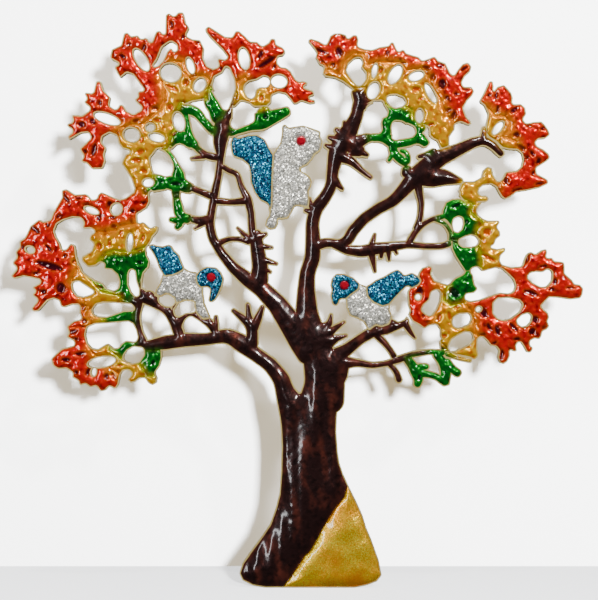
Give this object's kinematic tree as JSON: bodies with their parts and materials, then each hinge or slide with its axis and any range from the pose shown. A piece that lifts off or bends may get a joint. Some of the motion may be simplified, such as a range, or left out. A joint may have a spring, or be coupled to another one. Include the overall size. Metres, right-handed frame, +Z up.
{
  "type": "tree of life wall plaque",
  "caption": "Flat cast-metal tree of life wall plaque with coloured lacquer foliage, glitter squirrel and birds, and a turning ring hanger on the back",
  "frame": {"origin": "middle of the flat foot under the trunk, half way through the plate's thickness", "axes": "+X to the right seen from the front, +Y towards the back (the plaque's front faces -Y), +Z up the trunk"},
  "size_m": [0.1997, 0.0077, 0.201],
  "materials": {
    "gold_metal": "satin gold-coloured plated casting with bright worn rims",
    "brown_lacquer": "near-black red-brown translucent gloss lacquer, copper where thin",
    "red_lacquer": "translucent orange-red gloss lacquer, crimson in its pools",
    "amber_lacquer": "translucent amber gloss lacquer",
    "green_lacquer": "translucent emerald gloss lacquer",
    "gold_glitter": "fine gold glitter under clear gloss",
    "blue_glitter": "turquoise-blue glitter in clear gloss",
    "silver_glitter": "silver glitter in clear gloss",
    "red_crystal": "faceted red glass",
    "hanger_metal": "plain stamped brass"
  },
  "bodies": {
    "plaque": {"amber_left_lower_lacquer": "amber_lacquer", "amber_left_upper_lacquer": "amber_lacquer", "amber_low_left_lacquer": "amber_lacquer", "amber_low_right_lacquer": "amber_lacquer", "amber_right_lower_lacquer": "amber_lacquer", "amber_right_middle_lacquer": "amber_lacquer", "amber_right_upper_lacquer": "amber_lacquer", "amber_top_left_lacquer": "amber_lacquer", "amber_top_middle_lacquer": "amber_lacquer", "amber_top_right_lacquer": "amber_lacquer", "green_left_bar_lacquer": "green_lacquer", "green_left_crown_lacquer": "green_lacquer", "green_left_lacquer": "green_lacquer", "green_left_middle_lacquer": "green_lacquer", "green_left_sprig_lacquer": "green_lacquer", "green_low_left_lacquer": "green_lacquer", "green_low_left_leaf_lacquer": "green_lacquer", "green_low_right_lacquer": "green_lacquer", "green_right_lacquer": "green_lacquer", "green_right_leaf_lacquer": "green_lacquer", "green_right_lower_lacquer": "green_lacquer", "green_top_left_lacquer": "green_lacquer", "green_top_middle_lacquer": "green_lacquer", "green_top_right_lacquer": "green_lacquer", "ground_gold_glitter": "gold_glitter", "hanger_rivet_lower": "hanger_metal", "hanger_rivet_upper": "hanger_metal", "hanger_strap": "hanger_metal", "left_bird_body_glitter": "silver_glitter", "left_bird_eye_crystal": "red_crystal", "left_bird_head_glitter": "blue_glitter", "left_bird_wing_glitter": "blue_glitter", "red_left_lacquer": "red_lacquer", "red_low_left_lacquer": "red_lacquer", "red_low_right_lacquer": "red_lacquer", "red_middle_right_lacquer": "red_lacquer", "red_right_lacquer": "red_lacquer", "red_top_left_lacquer": "red_lacquer", "red_top_middle_lacquer": "red_lacquer", "red_top_right_lacquer": "red_lacquer", "right_bird_body_glitter": "silver_glitter", "right_bird_eye_crystal": "red_crystal", "right_bird_head_glitter": "blue_glitter", "right_bird_wing_glitter": "blue_glitter", "squirrel_body_glitter": "silver_glitter", "squirrel_eye_crystal": "red_crystal", "squirrel_tail_glitter": "blue_glitter", "tree_casting": "gold_metal", "trunk_and_branches_lacquer": "brown_lacquer"},
    "ring": {"hanging_ring": "hanger_metal"}
  },
  "joints": [
    {"name": "ring_turn", "type": "hinge", "parent": "plaque", "child": "ring", "pos_m": [-0.0054, 0.00345, 0.147], "axis": [-1, 0, 0], "range_deg": [0, 170]}
  ]
}
